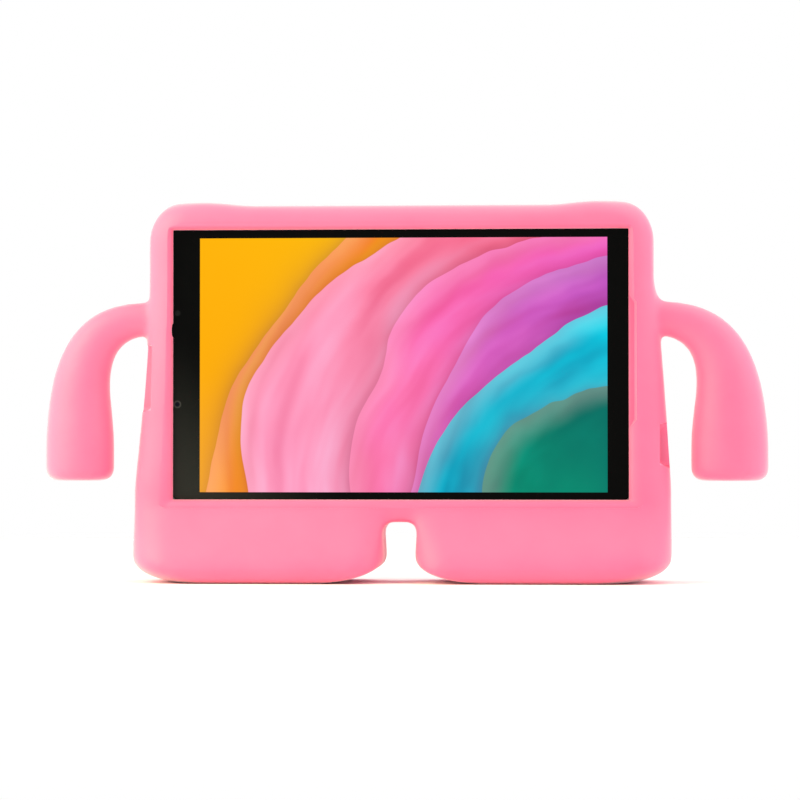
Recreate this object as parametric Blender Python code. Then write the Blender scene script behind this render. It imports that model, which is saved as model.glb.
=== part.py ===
"""A foam tablet case for children, with the tablet that it holds.

Metres, +Z up. The screen faces -Y. The origin is on the ground, midway between the two feet.
"""

import math

import bmesh
import bpy
from mathutils import Matrix, Vector

# Clearances
GAP = 0.0003            # between pieces that touch
FOAM_GAP = 0.0003       # between the tablet and the foam round it

# Tablet
TABLET_WIDTH = 0.2000
TABLET_HEIGHT = 0.1210
TABLET_THICKNESS = 0.0082
TABLET_CORNER = 0.0100
SHELL_WALL = 0.0012
SHELL_BACK = 0.0008
GLASS_THICKNESS = 0.0007
PANEL_SIDE_BORDER = 0.0125
PANEL_TOP_BORDER = 0.00525
PANEL_THICKNESS = 0.0014
FRAME_PLATE = 0.0006
FRAME_FLANGE = 0.0022

# Foam body
WALL_ABOVE = 0.0058     # foam over the tablet
WALL_BELOW = 0.0320     # foam under the tablet, down to the ground
SIDE_WALL = 0.0063      # foam beside the tablet, at the shoulders
LIP_THICKNESS = 0.0040  # foam in front of the glass
LIP_SIDE = 0.0042       # how far the lip reaches over the tablet's short sides
LIP_TOP = 0.0038        # how far it reaches over the long sides
LIP_ROUND = 0.0025
WINDOW_CORNER = 0.0005
BACK_WALL = 0.0112
HIP_SPREAD = 0.0070     # how much farther out the sides stand at the hips
SHOULDER_DROP = 0.0341  # from the top edge down to where the sides start to widen
HIP_RISE = 0.0080       # from the tablet's lower edge up to where they stop
WIDEN_POWER = 1.2
TOP_CORNER = 0.0150
EDGE_ROUND = 0.0090
CORNER_RISE = 0.0015    # how far the top corners stand above the top edge
RISE_INSET = 0.0246     # from the shoulder in to where the corner has its full height
RISE_LENGTH = 0.0200

# Feet
FOOT_DEPTH = 0.0530
FOOT_TOP_Z = 0.0050
ANKLE_BELOW_WINDOW = 0.0011
FOOT_CORNER_X = 0.0170
FOOT_CORNER_Z = 0.0095
FOOT_INNER_ROUND = 0.0140
NOTCH_WIDTH_TOP = 0.0144
NOTCH_TAPER = 0.0015
NOTCH_ROOF = 0.0063     # foam between the gap's top and the pocket
NOTCH_CORNER = 0.0040
NOTCH_FLARE_X = 0.0210
NOTCH_FLARE_Z = 0.0093

# Arms
ARM_ROOT_DROP = 0.0473  # from the top edge down to the middle of an arm's root
ARM_BEND_INSET = 0.0026
ARM_ROOT_INSET = 0.0081
ARM_GAP = 0.0085        # between a hand and the hip
ARM_RISE = 0.0415
ARM_POWER = 2.3
ARM_HAND_DROP = 0.0271
ARM_ROOT_HALF = 0.0077
ARM_HAND_HALF = 0.0153
ARM_END_ROUND = 0.0055
ARM_DEPTH_SHARE = 0.86
ARM_SWELL_SHARE = 0.85  # of the arm's length, where the hand reaches its full width
ROOT_FLARE = 0.0012
ROOT_FLARE_LENGTH = 0.0050

# Openings in the foam's side walls and back, placed by shares of the tablet's height
SLOT_CORNER_SHARE = 0.45
LEFT_SLOT_PLACE = -0.053
LEFT_SLOT_LENGTH = 0.0284
RIGHT_SLOT_PLACE = -0.285
RIGHT_SLOT_LENGTH = 0.0170
RECESS_WIDTH = 0.0022
RECESS_DEPTH = 0.0024
RECESS_PLACE = -0.014
RECESS_LENGTH = 0.0588
LIP_NOTCH_PLACE = 0.112
LIP_NOTCH_LENGTH = 0.0056
LIP_NOTCH_DEPTH = 0.0006
CAMERA_FROM_END = 0.0130
CAMERA_BELOW_TOP = 0.0120
CAMERA_HOLE_RADIUS = 0.0085
CAMERA_HOLE_ROUND = 0.0030

# Keys and card tray, placed by shares of the tablet's width
KEY_STANDS_OUT = 0.0006
KEY_TRAVEL = 0.0003
KEY_DEPTH = 0.0022
KEY_FLANGE = 0.0008
POWER_KEY_PLACE = -0.280
POWER_KEY_WIDTH = 0.0100
VOLUME_KEY_PLACE = -0.170
VOLUME_KEY_WIDTH = 0.0210
SWITCH_WIDTH = 0.0042
SWITCH_HEIGHT = 0.0016
TRAY_PLACE = 0.150
TRAY_WIDTH = 0.0130
TRAY_LENGTH = 0.0150
TRAY_DEPTH = 0.0018
TRAY_BODY_DEPTH = 0.0012

# Pieces inside the tablet
JACK_LENGTH = 0.0100
JACK_WIDTH = 0.0062
JACK_BORE = 0.00175
USB_LENGTH = 0.0080
USB_WIDTH = 0.0090
USB_MOUTH_SHARE = 0.74  # of the room behind the frame
SPEAKER_LENGTH = 0.0160
SPEAKER_HOLES = 4
SPEAKER_HOLE = 0.0016
SPEAKER_PLACES = {"speaker_lower": -0.021, "speaker_upper": 0.277}
FRONT_CAMERA_PLACE = -0.1455
FRONT_CAMERA_SIZE = 0.0040
LIGHT_SENSOR_PLACE = 0.173
LIGHT_SENSOR_SIZE = 0.0024
REAR_CAMERA_SIZE = 0.0085
CAMERA_WINDOW_RADIUS = 0.0042
BOARD_THICKNESS = 0.0008
BOARD_WIDTH = 0.0410
BOARD_BELOW_CAMERA = 0.00175
SUB_BOARD_WIDTH = 0.0251
SUB_BOARD_HEIGHT = 0.0620
BATTERY_BELOW_TRAY = 0.0020
SCREW_RADIUS = 0.0011
SCREW_HEAD_RADIUS = 0.0018
SCREW_INSET = 0.0033
SHIELD_WIDTH = 0.0200
SHIELD_HEIGHT = 0.0400
SHIELD_PLACE = -0.103
FLEX_THICKNESS = 0.0003
FLEX_WIDTH = 0.0120
FLEX_TAIL = 0.0040
FLEX_PLACE = 0.227
LEAD_OVERLAP = 0.0040
LEAD_WIDTH = 0.0080
LINK_WIDTH = 0.0012
MIC_SIZE = 0.0030
MIC_THICKNESS = 0.0010

# Steps along curves
CORNER_SIDES = 5
HOLE_SIDES = 28
SCREW_SIDES = 14
ROUND_STEPS = 5
FLARE_STEPS = 6
SIDE_STEPS = 5
ARM_SIDES = 20
ARM_STEPS = 22
ARM_BEND_SHARE = 0.72
RING_STRAIGHT_STEPS = 20
RING_END_STEPS = 6
MIDDLE_CROWDING = 0.75
SMOOTH_ANGLE = 40
MERGE_DISTANCE = 1e-6

# The pocket and the body, worked out from the sizes above
POCKET_HALF_X = TABLET_WIDTH / 2 + FOAM_GAP
POCKET_LOW_Z = WALL_BELOW - FOAM_GAP
POCKET_HIGH_Z = WALL_BELOW + TABLET_HEIGHT + FOAM_GAP
TABLET_Z = WALL_BELOW + TABLET_HEIGHT / 2
TABLET_TOP_Z = WALL_BELOW + TABLET_HEIGHT
CASE_HEIGHT = POCKET_HIGH_Z + WALL_ABOVE
SHOULDER_HALF_WIDTH = POCKET_HALF_X + SIDE_WALL
HIP_HALF_WIDTH = SHOULDER_HALF_WIDTH + HIP_SPREAD
SHOULDER_Z = CASE_HEIGHT - SHOULDER_DROP
HIP_Z = WALL_BELOW + HIP_RISE
ANKLE_Z = WALL_BELOW + LIP_TOP - ANKLE_BELOW_WINDOW
NOTCH_WIDTH_LOW = NOTCH_WIDTH_TOP - NOTCH_TAPER
NOTCH_HEIGHT = POCKET_LOW_Z - NOTCH_ROOF
ARM_ROOT_Z = CASE_HEIGHT - ARM_ROOT_DROP
ARM_CENTRE_Z = ARM_ROOT_Z - ARM_RISE
ARM_CENTRE_X = SHOULDER_HALF_WIDTH - ARM_BEND_INSET
ARM_START_X = SHOULDER_HALF_WIDTH - ARM_ROOT_INSET
ARM_REACH = HIP_HALF_WIDTH + ARM_GAP + ARM_HAND_HALF - ARM_CENTRE_X
LEFT_SLOT_Z = TABLET_Z + LEFT_SLOT_PLACE * TABLET_HEIGHT
RIGHT_SLOT_Z = TABLET_Z + RIGHT_SLOT_PLACE * TABLET_HEIGHT
SLAB_DEPTH = LIP_THICKNESS + TABLET_THICKNESS + 2 * FOAM_GAP + BACK_WALL
SLAB_HALF = SLAB_DEPTH / 2
FOOT_HALF = FOOT_DEPTH / 2

# The tablet's layers and pieces, worked out from the sizes above
PANEL_WIDTH = TABLET_WIDTH - 2 * PANEL_SIDE_BORDER
PANEL_HEIGHT = TABLET_HEIGHT - 2 * PANEL_TOP_BORDER
POCKET_FRONT_Y = -SLAB_HALF + LIP_THICKNESS
POCKET_BACK_Y = POCKET_FRONT_Y + TABLET_THICKNESS + 2 * FOAM_GAP
TABLET_FRONT_Y = POCKET_FRONT_Y + FOAM_GAP
TABLET_BACK_Y = TABLET_FRONT_Y + TABLET_THICKNESS
SHELL_INNER_Y = TABLET_BACK_Y - SHELL_BACK
GLASS_BACK_Y = TABLET_FRONT_Y + GLASS_THICKNESS
PANEL_FRONT_Y = GLASS_BACK_Y + GAP
PANEL_BACK_Y = PANEL_FRONT_Y + PANEL_THICKNESS
PLATE_FRONT_Y = PANEL_BACK_Y + GAP
PLATE_BACK_Y = PLATE_FRONT_Y + FRAME_PLATE
BOARD_FRONT_Y = PLATE_BACK_Y + GAP
ROOM_BACK_Y = SHELL_INNER_Y - GAP
ROOM_MIDDLE_Y = (BOARD_FRONT_Y + ROOM_BACK_Y) / 2
INNER_HALF_X = TABLET_WIDTH / 2 - SHELL_WALL - GAP
INNER_HALF_Z = TABLET_HEIGHT / 2 - SHELL_WALL - GAP
CAMERA_X = CAMERA_FROM_END - TABLET_WIDTH / 2
CAMERA_Z = TABLET_TOP_Z - CAMERA_BELOW_TOP
KEY_Y = BOARD_FRONT_Y + KEY_DEPTH / 2
POWER_KEY_X = POWER_KEY_PLACE * TABLET_WIDTH
VOLUME_KEY_X = VOLUME_KEY_PLACE * TABLET_WIDTH
TRAY_X = TRAY_PLACE * TABLET_WIDTH
JACK_Y = (GLASS_BACK_Y + 2 * GAP + ROOM_BACK_Y) / 2
JACK_DEPTH = ROOM_BACK_Y - GLASS_BACK_Y - 2 * GAP
USB_LOW_X = INNER_HALF_X - USB_LENGTH
USB_MOUTH = USB_MOUTH_SHARE * (ROOM_BACK_Y - BOARD_FRONT_Y)
FRONT_PARTS_X = FRAME_FLANGE + GAP + FRONT_CAMERA_SIZE / 2 - INNER_HALF_X
BOARD_LOW_X = -INNER_HALF_X + GAP
BOARD_HIGH_X = BOARD_LOW_X + BOARD_WIDTH
BOARD_LOW_Z = TABLET_Z - INNER_HALF_Z + 2 * GAP + LINK_WIDTH
BOARD_HIGH_Z = CAMERA_Z - REAR_CAMERA_SIZE / 2 - BOARD_BELOW_CAMERA
BATTERY_LOW_X = BOARD_HIGH_X + LEAD_OVERLAP
BATTERY_HIGH_X = USB_LOW_X - 2 * GAP - SUB_BOARD_WIDTH
BATTERY_HIGH_Z = TABLET_TOP_Z - TRAY_LENGTH - BATTERY_BELOW_TRAY
SUB_BOARD_HIGH_Z = BOARD_LOW_Z + SUB_BOARD_HEIGHT
SHIELD_Z = TABLET_Z + SHIELD_PLACE * TABLET_HEIGHT
FLEX_X = -PANEL_WIDTH / 2 - GAP - FLEX_THICKNESS
FLEX_Z = TABLET_Z + FLEX_PLACE * TABLET_HEIGHT


def clear_scene():
    for thing in list(bpy.data.objects):
        bpy.data.objects.remove(thing, do_unlink=True)


def make_material(name, colour, roughness, metallic=0.0):
    material = bpy.data.materials.new(name)
    material.use_nodes = True
    shader = material.node_tree.nodes["Principled BSDF"]
    shader.inputs["Base Color"].default_value = (*colour, 1.0)
    shader.inputs["Roughness"].default_value = roughness
    shader.inputs["Metallic"].default_value = metallic
    material.diffuse_color = (*colour, 1.0)
    return material


def add_object(name, bm, place=(0.0, 0.0, 0.0)):
    bmesh.ops.remove_doubles(bm, verts=bm.verts, dist=MERGE_DISTANCE)
    bmesh.ops.recalc_face_normals(bm, faces=bm.faces)
    mesh = bpy.data.meshes.new(name)
    bm.to_mesh(mesh)
    bm.free()
    thing = bpy.data.objects.new(name, mesh)
    thing.location = place
    bpy.context.scene.collection.objects.link(thing)
    return thing


def finish(thing, material, parent=None, smooth=False):
    thing.data.materials.clear()
    thing.data.materials.append(material)
    thing.parent = parent
    if smooth:
        thing.data.shade_smooth()
        thing.data.set_sharp_from_angle(angle=math.radians(SMOOTH_ANGLE))
    return thing


def skin_rings(bm, rings):
    """Joins rings of points, each with the same count, and closes both ends."""
    loops = [[bm.verts.new(point) for point in ring] for ring in rings]
    count = len(loops[0])
    for low, high in zip(loops, loops[1:]):
        for i in range(count):
            j = (i + 1) % count
            bm.faces.new((low[i], low[j], high[j], high[i]))
    bm.faces.new(loops[0])
    bm.faces.new(list(reversed(loops[-1])))


def box_mesh(width, depth, height, middle=(0.0, 0.0, 0.0)):
    bm = bmesh.new()
    bmesh.ops.create_cube(bm, size=1.0)
    bmesh.ops.scale(bm, vec=(width, depth, height), verts=bm.verts)
    bmesh.ops.translate(bm, vec=middle, verts=bm.verts)
    return bm


def span_box(low, high):
    size = [b - a for a, b in zip(low, high)]
    middle = [(a + b) / 2 for a, b in zip(low, high)]
    return box_mesh(size[0], size[1], size[2], middle)


def rounded_outline(half_x, half_z, radius, middle_z=0.0, sides=CORNER_SIDES):
    """Points of a rectangle with round corners, in the XZ plane."""
    points = []
    centres = ((1, 1, 0), (-1, 1, 90), (-1, -1, 180), (1, -1, 270))
    for sign_x, sign_z, start in centres:
        for step in range(sides + 1):
            angle = math.radians(start + 90 * step / sides)
            x = sign_x * (half_x - radius) + radius * math.cos(angle)
            z = middle_z + sign_z * (half_z - radius) + radius * math.sin(angle)
            points.append((x, z))
    return points


def rounded_plate(half_x, half_z, radius, front, back, middle_z=TABLET_Z, sides=CORNER_SIDES):
    bm = bmesh.new()
    outline = rounded_outline(half_x, half_z, radius, middle_z, sides)
    skin_rings(bm, [[(x, y, z) for x, z in outline] for y in (front, back)])
    return bm


def cylinder_mesh(radius, front, back, x, z, sides=HOLE_SIDES):
    bm = bmesh.new()
    turn = Matrix.Rotation(math.radians(90), 4, "X")
    place = Matrix.Translation((x, (front + back) / 2, z))
    bmesh.ops.create_cone(
        bm, cap_ends=True, segments=sides, radius1=radius, radius2=radius,
        depth=back - front, matrix=place @ turn,
    )
    return bm


def apply_boolean(thing, bm, operation="DIFFERENCE"):
    """Cuts or joins the given shape, and leaves the result in the object's own mesh."""
    tool = add_object("tool", bm)
    tool.hide_render = True
    tool.display_type = "WIRE"
    modifier = thing.modifiers.new("shape", "BOOLEAN")
    modifier.operation = operation
    modifier.object = tool
    modifier.solver = "EXACT"
    graph = bpy.context.evaluated_depsgraph_get()
    result = bpy.data.meshes.new_from_object(thing.evaluated_get(graph))
    thing.modifiers.clear()
    thing.data = result
    bpy.data.objects.remove(tool, do_unlink=True)


def ease(value):
    value = min(max(value, 0.0), 1.0)
    return value * value * (3 - 2 * value)


def rounding(distance, length, depth):
    """How far a quarter ellipse pulls in at a distance from its far end."""
    share = min(max(1 - distance / length, 0.0), 1.0)
    return depth * (1 - math.sqrt(1 - share * share))


def body_half_width(z):
    share = min(max((SHOULDER_Z - z) / (SHOULDER_Z - HIP_Z), 0.0), 1.0)
    width = SHOULDER_HALF_WIDTH + (HIP_HALF_WIDTH - SHOULDER_HALF_WIDTH) * share ** WIDEN_POWER
    width -= rounding(CASE_HEIGHT - z, TOP_CORNER, TOP_CORNER)
    return width - rounding(z, FOOT_CORNER_Z, FOOT_CORNER_X)


def body_half_depth(z):
    depth = SLAB_HALF + (FOOT_HALF - SLAB_HALF) * ease((ANKLE_Z - z) / (ANKLE_Z - FOOT_TOP_Z))
    depth -= rounding(CASE_HEIGHT - z, EDGE_ROUND, EDGE_ROUND)
    return depth - rounding(z, FOOT_CORNER_Z, FOOT_CORNER_Z)


def corner_rise(x, z):
    near_corner = ease((abs(x) - SHOULDER_HALF_WIDTH + RISE_INSET) / RISE_LENGTH + 1)
    near_top = ease((z - POCKET_HIGH_Z + WALL_ABOVE) / (2 * WALL_ABOVE))
    return CORNER_RISE * near_corner * near_top


def body_levels():
    """Heights of the body's rings, close together where it curves."""
    low = [FOOT_CORNER_Z * (1 - math.cos(math.pi / 2 * i / ROUND_STEPS)) for i in range(ROUND_STEPS)]
    flare = [FOOT_CORNER_Z + (ANKLE_Z - FOOT_CORNER_Z) * i / FLARE_STEPS for i in range(FLARE_STEPS)]
    straight_top = CASE_HEIGHT - TOP_CORNER
    side = [ANKLE_Z + (straight_top - ANKLE_Z) * i / SIDE_STEPS for i in range(SIDE_STEPS)]
    turn = [math.pi / 2 * i / ROUND_STEPS for i in range(ROUND_STEPS + 1)]
    top = [straight_top + TOP_CORNER * math.sin(angle) for angle in turn]
    return low + flare + side + top


def inner_rounding(x, half_depth):
    """How far a foot's front or back pulls in beside the notch, where its inner edge is round."""
    from_notch = max(abs(x) - NOTCH_WIDTH_LOW / 2, 0.0)
    return rounding(from_notch, FOOT_INNER_ROUND, max(half_depth - SLAB_HALF, 0.0))


def straight_places():
    """Shares of the straight length, from one end to the other, closer together near the notch."""
    places = [1 - 2 * i / RING_STRAIGHT_STEPS for i in range(RING_STRAIGHT_STEPS)]
    return [MIDDLE_CROWDING * s ** 3 + (1 - MIDDLE_CROWDING) * s for s in places]


def body_ring(z):
    """A level ring: straight front and back, and ends rounded wider than they are deep."""
    half_x = body_half_width(z)
    half_y = body_half_depth(z)
    swell = max(half_y - SLAB_HALF, 0.0) / (FOOT_HALF - SLAB_HALF)
    end_x = TOP_CORNER + (FOOT_CORNER_X - TOP_CORNER) * swell
    end_y = half_y * EDGE_ROUND / SLAB_HALF
    flat_x = half_x - end_x
    flat_y = half_y - end_y
    half_ring = [(flat_x * s, half_y - inner_rounding(flat_x * s, half_y)) for s in straight_places()]
    turn = [math.pi / 2 * i / RING_END_STEPS for i in range(RING_END_STEPS + 1)]
    half_ring += [(-flat_x - end_x * math.sin(a), flat_y + end_y * math.cos(a)) for a in turn]
    half_ring += [(-flat_x - end_x * math.sin(a), -flat_y - end_y * math.cos(a)) for a in turn[:0:-1]]
    ring = half_ring + [(-x, -y) for x, y in half_ring]
    return [(x, y, z + corner_rise(x, z)) for x, y in ring]


def arm_centre(share):
    """A point on an arm's middle line: level at the body, then a bend, then straight down."""
    if share < ARM_BEND_SHARE:
        angle = math.pi / 2 * share / ARM_BEND_SHARE
        power = 2 / ARM_POWER
        x = ARM_CENTRE_X + ARM_REACH * math.sin(angle) ** power
        z = ARM_CENTRE_Z + ARM_RISE * math.cos(angle) ** power
        return Vector((x, 0.0, z))
    drop = (share - ARM_BEND_SHARE) / (1 - ARM_BEND_SHARE)
    return Vector((ARM_CENTRE_X + ARM_REACH, 0.0, ARM_CENTRE_Z - ARM_HAND_DROP * drop))


def arm_path():
    """Points along an arm's middle line, from inside the body to the end of the hand."""
    points = [Vector((ARM_START_X, 0.0, ARM_ROOT_Z))]
    points += [arm_centre(i / ARM_STEPS) for i in range(ARM_STEPS)]
    end = arm_centre(1.0)
    for i in range(ROUND_STEPS + 1):
        up = ARM_END_ROUND * (1 - math.sin(math.pi / 2 * i / ROUND_STEPS))
        points.append(end + Vector((0.0, 0.0, up)))
    return points


def arm_half(travelled, length, to_end):
    """An arm's half width at a distance along its middle line."""
    swell = ease(travelled / length / ARM_SWELL_SHARE)
    half = ARM_ROOT_HALF + (ARM_HAND_HALF - ARM_ROOT_HALF) * swell
    half += ROOT_FLARE * math.exp(-max(travelled, 0.0) / ROOT_FLARE_LENGTH)
    return half - rounding(to_end, ARM_END_ROUND, ARM_END_ROUND)


def arm_mesh(side):
    points = arm_path()
    gaps = [(b - a).length for a, b in zip(points, points[1:])]
    surface = body_half_width(ARM_ROOT_Z) - ARM_START_X
    length = sum(gaps) - surface
    rings = []
    for i, point in enumerate(points):
        before = points[max(i - 1, 0)]
        after = points[min(i + 1, len(points) - 1)]
        along = (after - before).normalized()
        across = Vector((-along.z, 0.0, along.x))
        to_end = sum(gaps[i:])
        half = arm_half(length - to_end, length, to_end)
        ring = []
        for k in range(ARM_SIDES):
            angle = 2 * math.pi * k / ARM_SIDES
            spot = point + across * half * math.cos(angle)
            ring.append((side * spot.x, ARM_DEPTH_SHARE * half * math.sin(angle), spot.z))
        rings.append(ring)
    bm = bmesh.new()
    skin_rings(bm, rings)
    return bm


def window_cutter():
    """The opening in front of the glass, wider at the lip's front edge, which is round."""
    half_x = TABLET_WIDTH / 2 - LIP_SIDE
    half_z = TABLET_HEIGHT / 2 - LIP_TOP
    rows = [(-FOOT_HALF - LIP_THICKNESS, LIP_ROUND)]
    for i in range(ROUND_STEPS + 1):
        inset = LIP_ROUND * math.sin(math.pi / 2 * i / ROUND_STEPS)
        rows.append((-SLAB_HALF + inset, rounding(inset, LIP_ROUND, LIP_ROUND)))
    rows.append((POCKET_FRONT_Y + LIP_ROUND, 0.0))
    bm = bmesh.new()
    rings = []
    for y, grow in rows:
        outline = rounded_outline(half_x + grow, half_z + grow, WINDOW_CORNER + grow, TABLET_Z)
        rings.append([(x, y, z) for x, z in outline])
    skin_rings(bm, rings)
    return bm


def pocket_cutter():
    half_z = (POCKET_HIGH_Z - POCKET_LOW_Z) / 2
    corner = TABLET_CORNER + FOAM_GAP
    return rounded_plate(POCKET_HALF_X, half_z, corner, POCKET_FRONT_Y, POCKET_BACK_Y)


def notch_outline():
    """Right half of the gap between the feet: a flared mouth, straight sides and round top corners."""
    half_low = NOTCH_WIDTH_LOW / 2
    half_top = NOTCH_WIDTH_TOP / 2
    half = [(half_low + NOTCH_FLARE_X, -NOTCH_FLARE_Z)]
    turn = [math.pi / 2 * i / ROUND_STEPS for i in range(ROUND_STEPS + 1)]
    for angle in turn:
        z = NOTCH_FLARE_Z * (1 - math.cos(angle))
        half.append((half_low + rounding(z, NOTCH_FLARE_Z, NOTCH_FLARE_X), z))
    for angle in turn:
        x = half_top - NOTCH_CORNER + NOTCH_CORNER * math.cos(angle)
        half.append((x, NOTCH_HEIGHT - NOTCH_CORNER + NOTCH_CORNER * math.sin(angle)))
    return half


def notch_cutter():
    right = notch_outline()
    outline = right + [(-x, z) for x, z in reversed(right)]
    bm = bmesh.new()
    skin_rings(bm, [[(x, y, z) for x, z in outline] for y in (-FOOT_DEPTH, FOOT_DEPTH)])
    return bm


def side_slot_cutter(side, z, length):
    """A slot through a side wall, level with the tablet's edge, with round ends."""
    middle_y = (TABLET_FRONT_Y + TABLET_BACK_Y) / 2
    depth = TABLET_THICKNESS - GAP
    outline = rounded_outline(depth / 2, length / 2, SLOT_CORNER_SHARE * depth, z)
    near, far = POCKET_HALF_X - LIP_SIDE, HIP_HALF_WIDTH + LIP_SIDE
    bm = bmesh.new()
    skin_rings(bm, [[(side * x, middle_y + y, height) for y, height in outline] for x in (near, far)])
    return bm


def lip_cutter(side, place, length, width, depth):
    """A shallow step in the lip's inner edge beside the glass."""
    edge = TABLET_WIDTH / 2 - LIP_SIDE
    z = TABLET_Z + place * TABLET_HEIGHT
    low = (edge - width, -SLAB_HALF - LIP_THICKNESS, z - length / 2)
    high = (edge + width, -SLAB_HALF + depth, z + length / 2)
    bm = span_box(low, high)
    bmesh.ops.scale(bm, vec=(side, 1.0, 1.0), verts=bm.verts)
    return bm


def camera_hole_cutter():
    """The round hole behind the rear camera, wider towards the back face."""
    rows = [(SLAB_HALF + LIP_THICKNESS, CAMERA_HOLE_ROUND)]
    for i in range(ROUND_STEPS + 1):
        inset = CAMERA_HOLE_ROUND * math.sin(math.pi / 2 * i / ROUND_STEPS)
        rows.append((SLAB_HALF - inset, rounding(inset, CAMERA_HOLE_ROUND, CAMERA_HOLE_ROUND)))
    rows.append((POCKET_BACK_Y - LIP_ROUND, 0.0))
    rings = []
    angles = [2 * math.pi * k / HOLE_SIDES for k in range(HOLE_SIDES)]
    for y, grow in rows:
        radius = CAMERA_HOLE_RADIUS + grow
        circle = [(CAMERA_X + radius * math.cos(a), CAMERA_Z + radius * math.sin(a)) for a in angles]
        rings.append([(x, y, z) for x, z in circle])
    bm = bmesh.new()
    skin_rings(bm, rings)
    return bm


def key_room_cutter(x, width):
    """Room in the foam above a key that stands out of the tablet's edge."""
    room = 2 * FOAM_GAP
    low = (x - width / 2 - room, KEY_Y - KEY_DEPTH / 2 - room, TABLET_TOP_Z - SHELL_WALL)
    high = (x + width / 2 + room, KEY_Y + KEY_DEPTH / 2 + room, TABLET_TOP_Z + KEY_STANDS_OUT + room)
    return span_box(low, high)


def make_foam_case(material):
    bm = bmesh.new()
    skin_rings(bm, [body_ring(z) for z in body_levels()])
    case = add_object("foam_case", bm)
    for side in (-1, 1):
        apply_boolean(case, arm_mesh(side), "UNION")
    apply_boolean(case, pocket_cutter())
    apply_boolean(case, window_cutter())
    apply_boolean(case, notch_cutter())
    apply_boolean(case, side_slot_cutter(-1, LEFT_SLOT_Z, LEFT_SLOT_LENGTH))
    apply_boolean(case, side_slot_cutter(1, RIGHT_SLOT_Z, RIGHT_SLOT_LENGTH))
    apply_boolean(case, lip_cutter(1, RECESS_PLACE, RECESS_LENGTH, RECESS_WIDTH, RECESS_DEPTH))
    through = LIP_THICKNESS + FOAM_GAP
    apply_boolean(case, lip_cutter(-1, LIP_NOTCH_PLACE, LIP_NOTCH_LENGTH, LIP_NOTCH_DEPTH, through))
    apply_boolean(case, camera_hole_cutter())
    for x, width in ((POWER_KEY_X, POWER_KEY_WIDTH), (VOLUME_KEY_X, VOLUME_KEY_WIDTH)):
        apply_boolean(case, key_room_cutter(x, width))
    finish(case, material, smooth=True)


def block(name, low, high, material, parent):
    """A plain block between two corners, placed by its middle."""
    size = [b - a for a, b in zip(low, high)]
    middle = [(a + b) / 2 for a, b in zip(low, high)]
    thing = add_object(name, box_mesh(*size), middle)
    return finish(thing, material, parent)


def make_cover_glass(material, parent):
    corner = TABLET_CORNER - SHELL_WALL - GAP
    bm = rounded_plate(INNER_HALF_X, INNER_HALF_Z, corner, TABLET_FRONT_Y, GLASS_BACK_Y)
    finish(add_object("cover_glass", bm), material, parent)


def make_display_panel(material, parent):
    low = (-PANEL_WIDTH / 2, PANEL_FRONT_Y, TABLET_Z - PANEL_HEIGHT / 2)
    high = (PANEL_WIDTH / 2, PANEL_BACK_Y, TABLET_Z + PANEL_HEIGHT / 2)
    block("display_panel", low, high, material, parent)


def flex_slot():
    """Where the panel's lead passes behind, through the frame and beside the board."""
    low = (FLEX_X - GAP, PANEL_FRONT_Y, FLEX_Z - FLEX_WIDTH / 2 - GAP)
    high = (FLEX_X + FLEX_THICKNESS + GAP, ROOM_BACK_Y, FLEX_Z + FLEX_WIDTH / 2 + GAP)
    return span_box(low, high)


def socket_room():
    low = (-TABLET_WIDTH / 2, TABLET_FRONT_Y, LEFT_SLOT_Z - JACK_WIDTH / 2 - GAP)
    high = (-INNER_HALF_X + JACK_LENGTH + GAP, ROOM_BACK_Y, LEFT_SLOT_Z + JACK_WIDTH / 2 + GAP)
    return span_box(low, high)


def make_mid_frame(material, parent):
    front = GLASS_BACK_Y + GAP
    corner = TABLET_CORNER - SHELL_WALL - GAP
    bm = rounded_plate(INNER_HALF_X, INNER_HALF_Z, corner, front, PLATE_BACK_Y)
    frame = add_object("mid_frame", bm)
    half_x, half_z = INNER_HALF_X - FRAME_FLANGE, INNER_HALF_Z - FRAME_FLANGE
    apply_boolean(frame, rounded_plate(half_x, half_z, corner - FRAME_FLANGE, front - GAP, PLATE_FRONT_Y))
    apply_boolean(frame, socket_room())
    apply_boolean(frame, flex_slot())
    finish(frame, material, parent)


def edge_slot(x, width, depth):
    """A slot through the top wall of the tablet's shell."""
    low = (x - width / 2 - GAP, KEY_Y - depth / 2 - GAP, TABLET_TOP_Z - 2 * SHELL_WALL)
    high = (x + width / 2 + GAP, KEY_Y + depth / 2 + GAP, TABLET_TOP_Z + SHELL_WALL)
    return span_box(low, high)


def end_hole(side, z, width, y_low, y_high):
    """An opening through one of the shell's end walls."""
    near, far = TABLET_WIDTH / 2 - 2 * SHELL_WALL, TABLET_WIDTH / 2 + SHELL_WALL
    low = (min(side * near, side * far), y_low, z - width / 2)
    high = (max(side * near, side * far), y_high, z + width / 2)
    return span_box(low, high)


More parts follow.
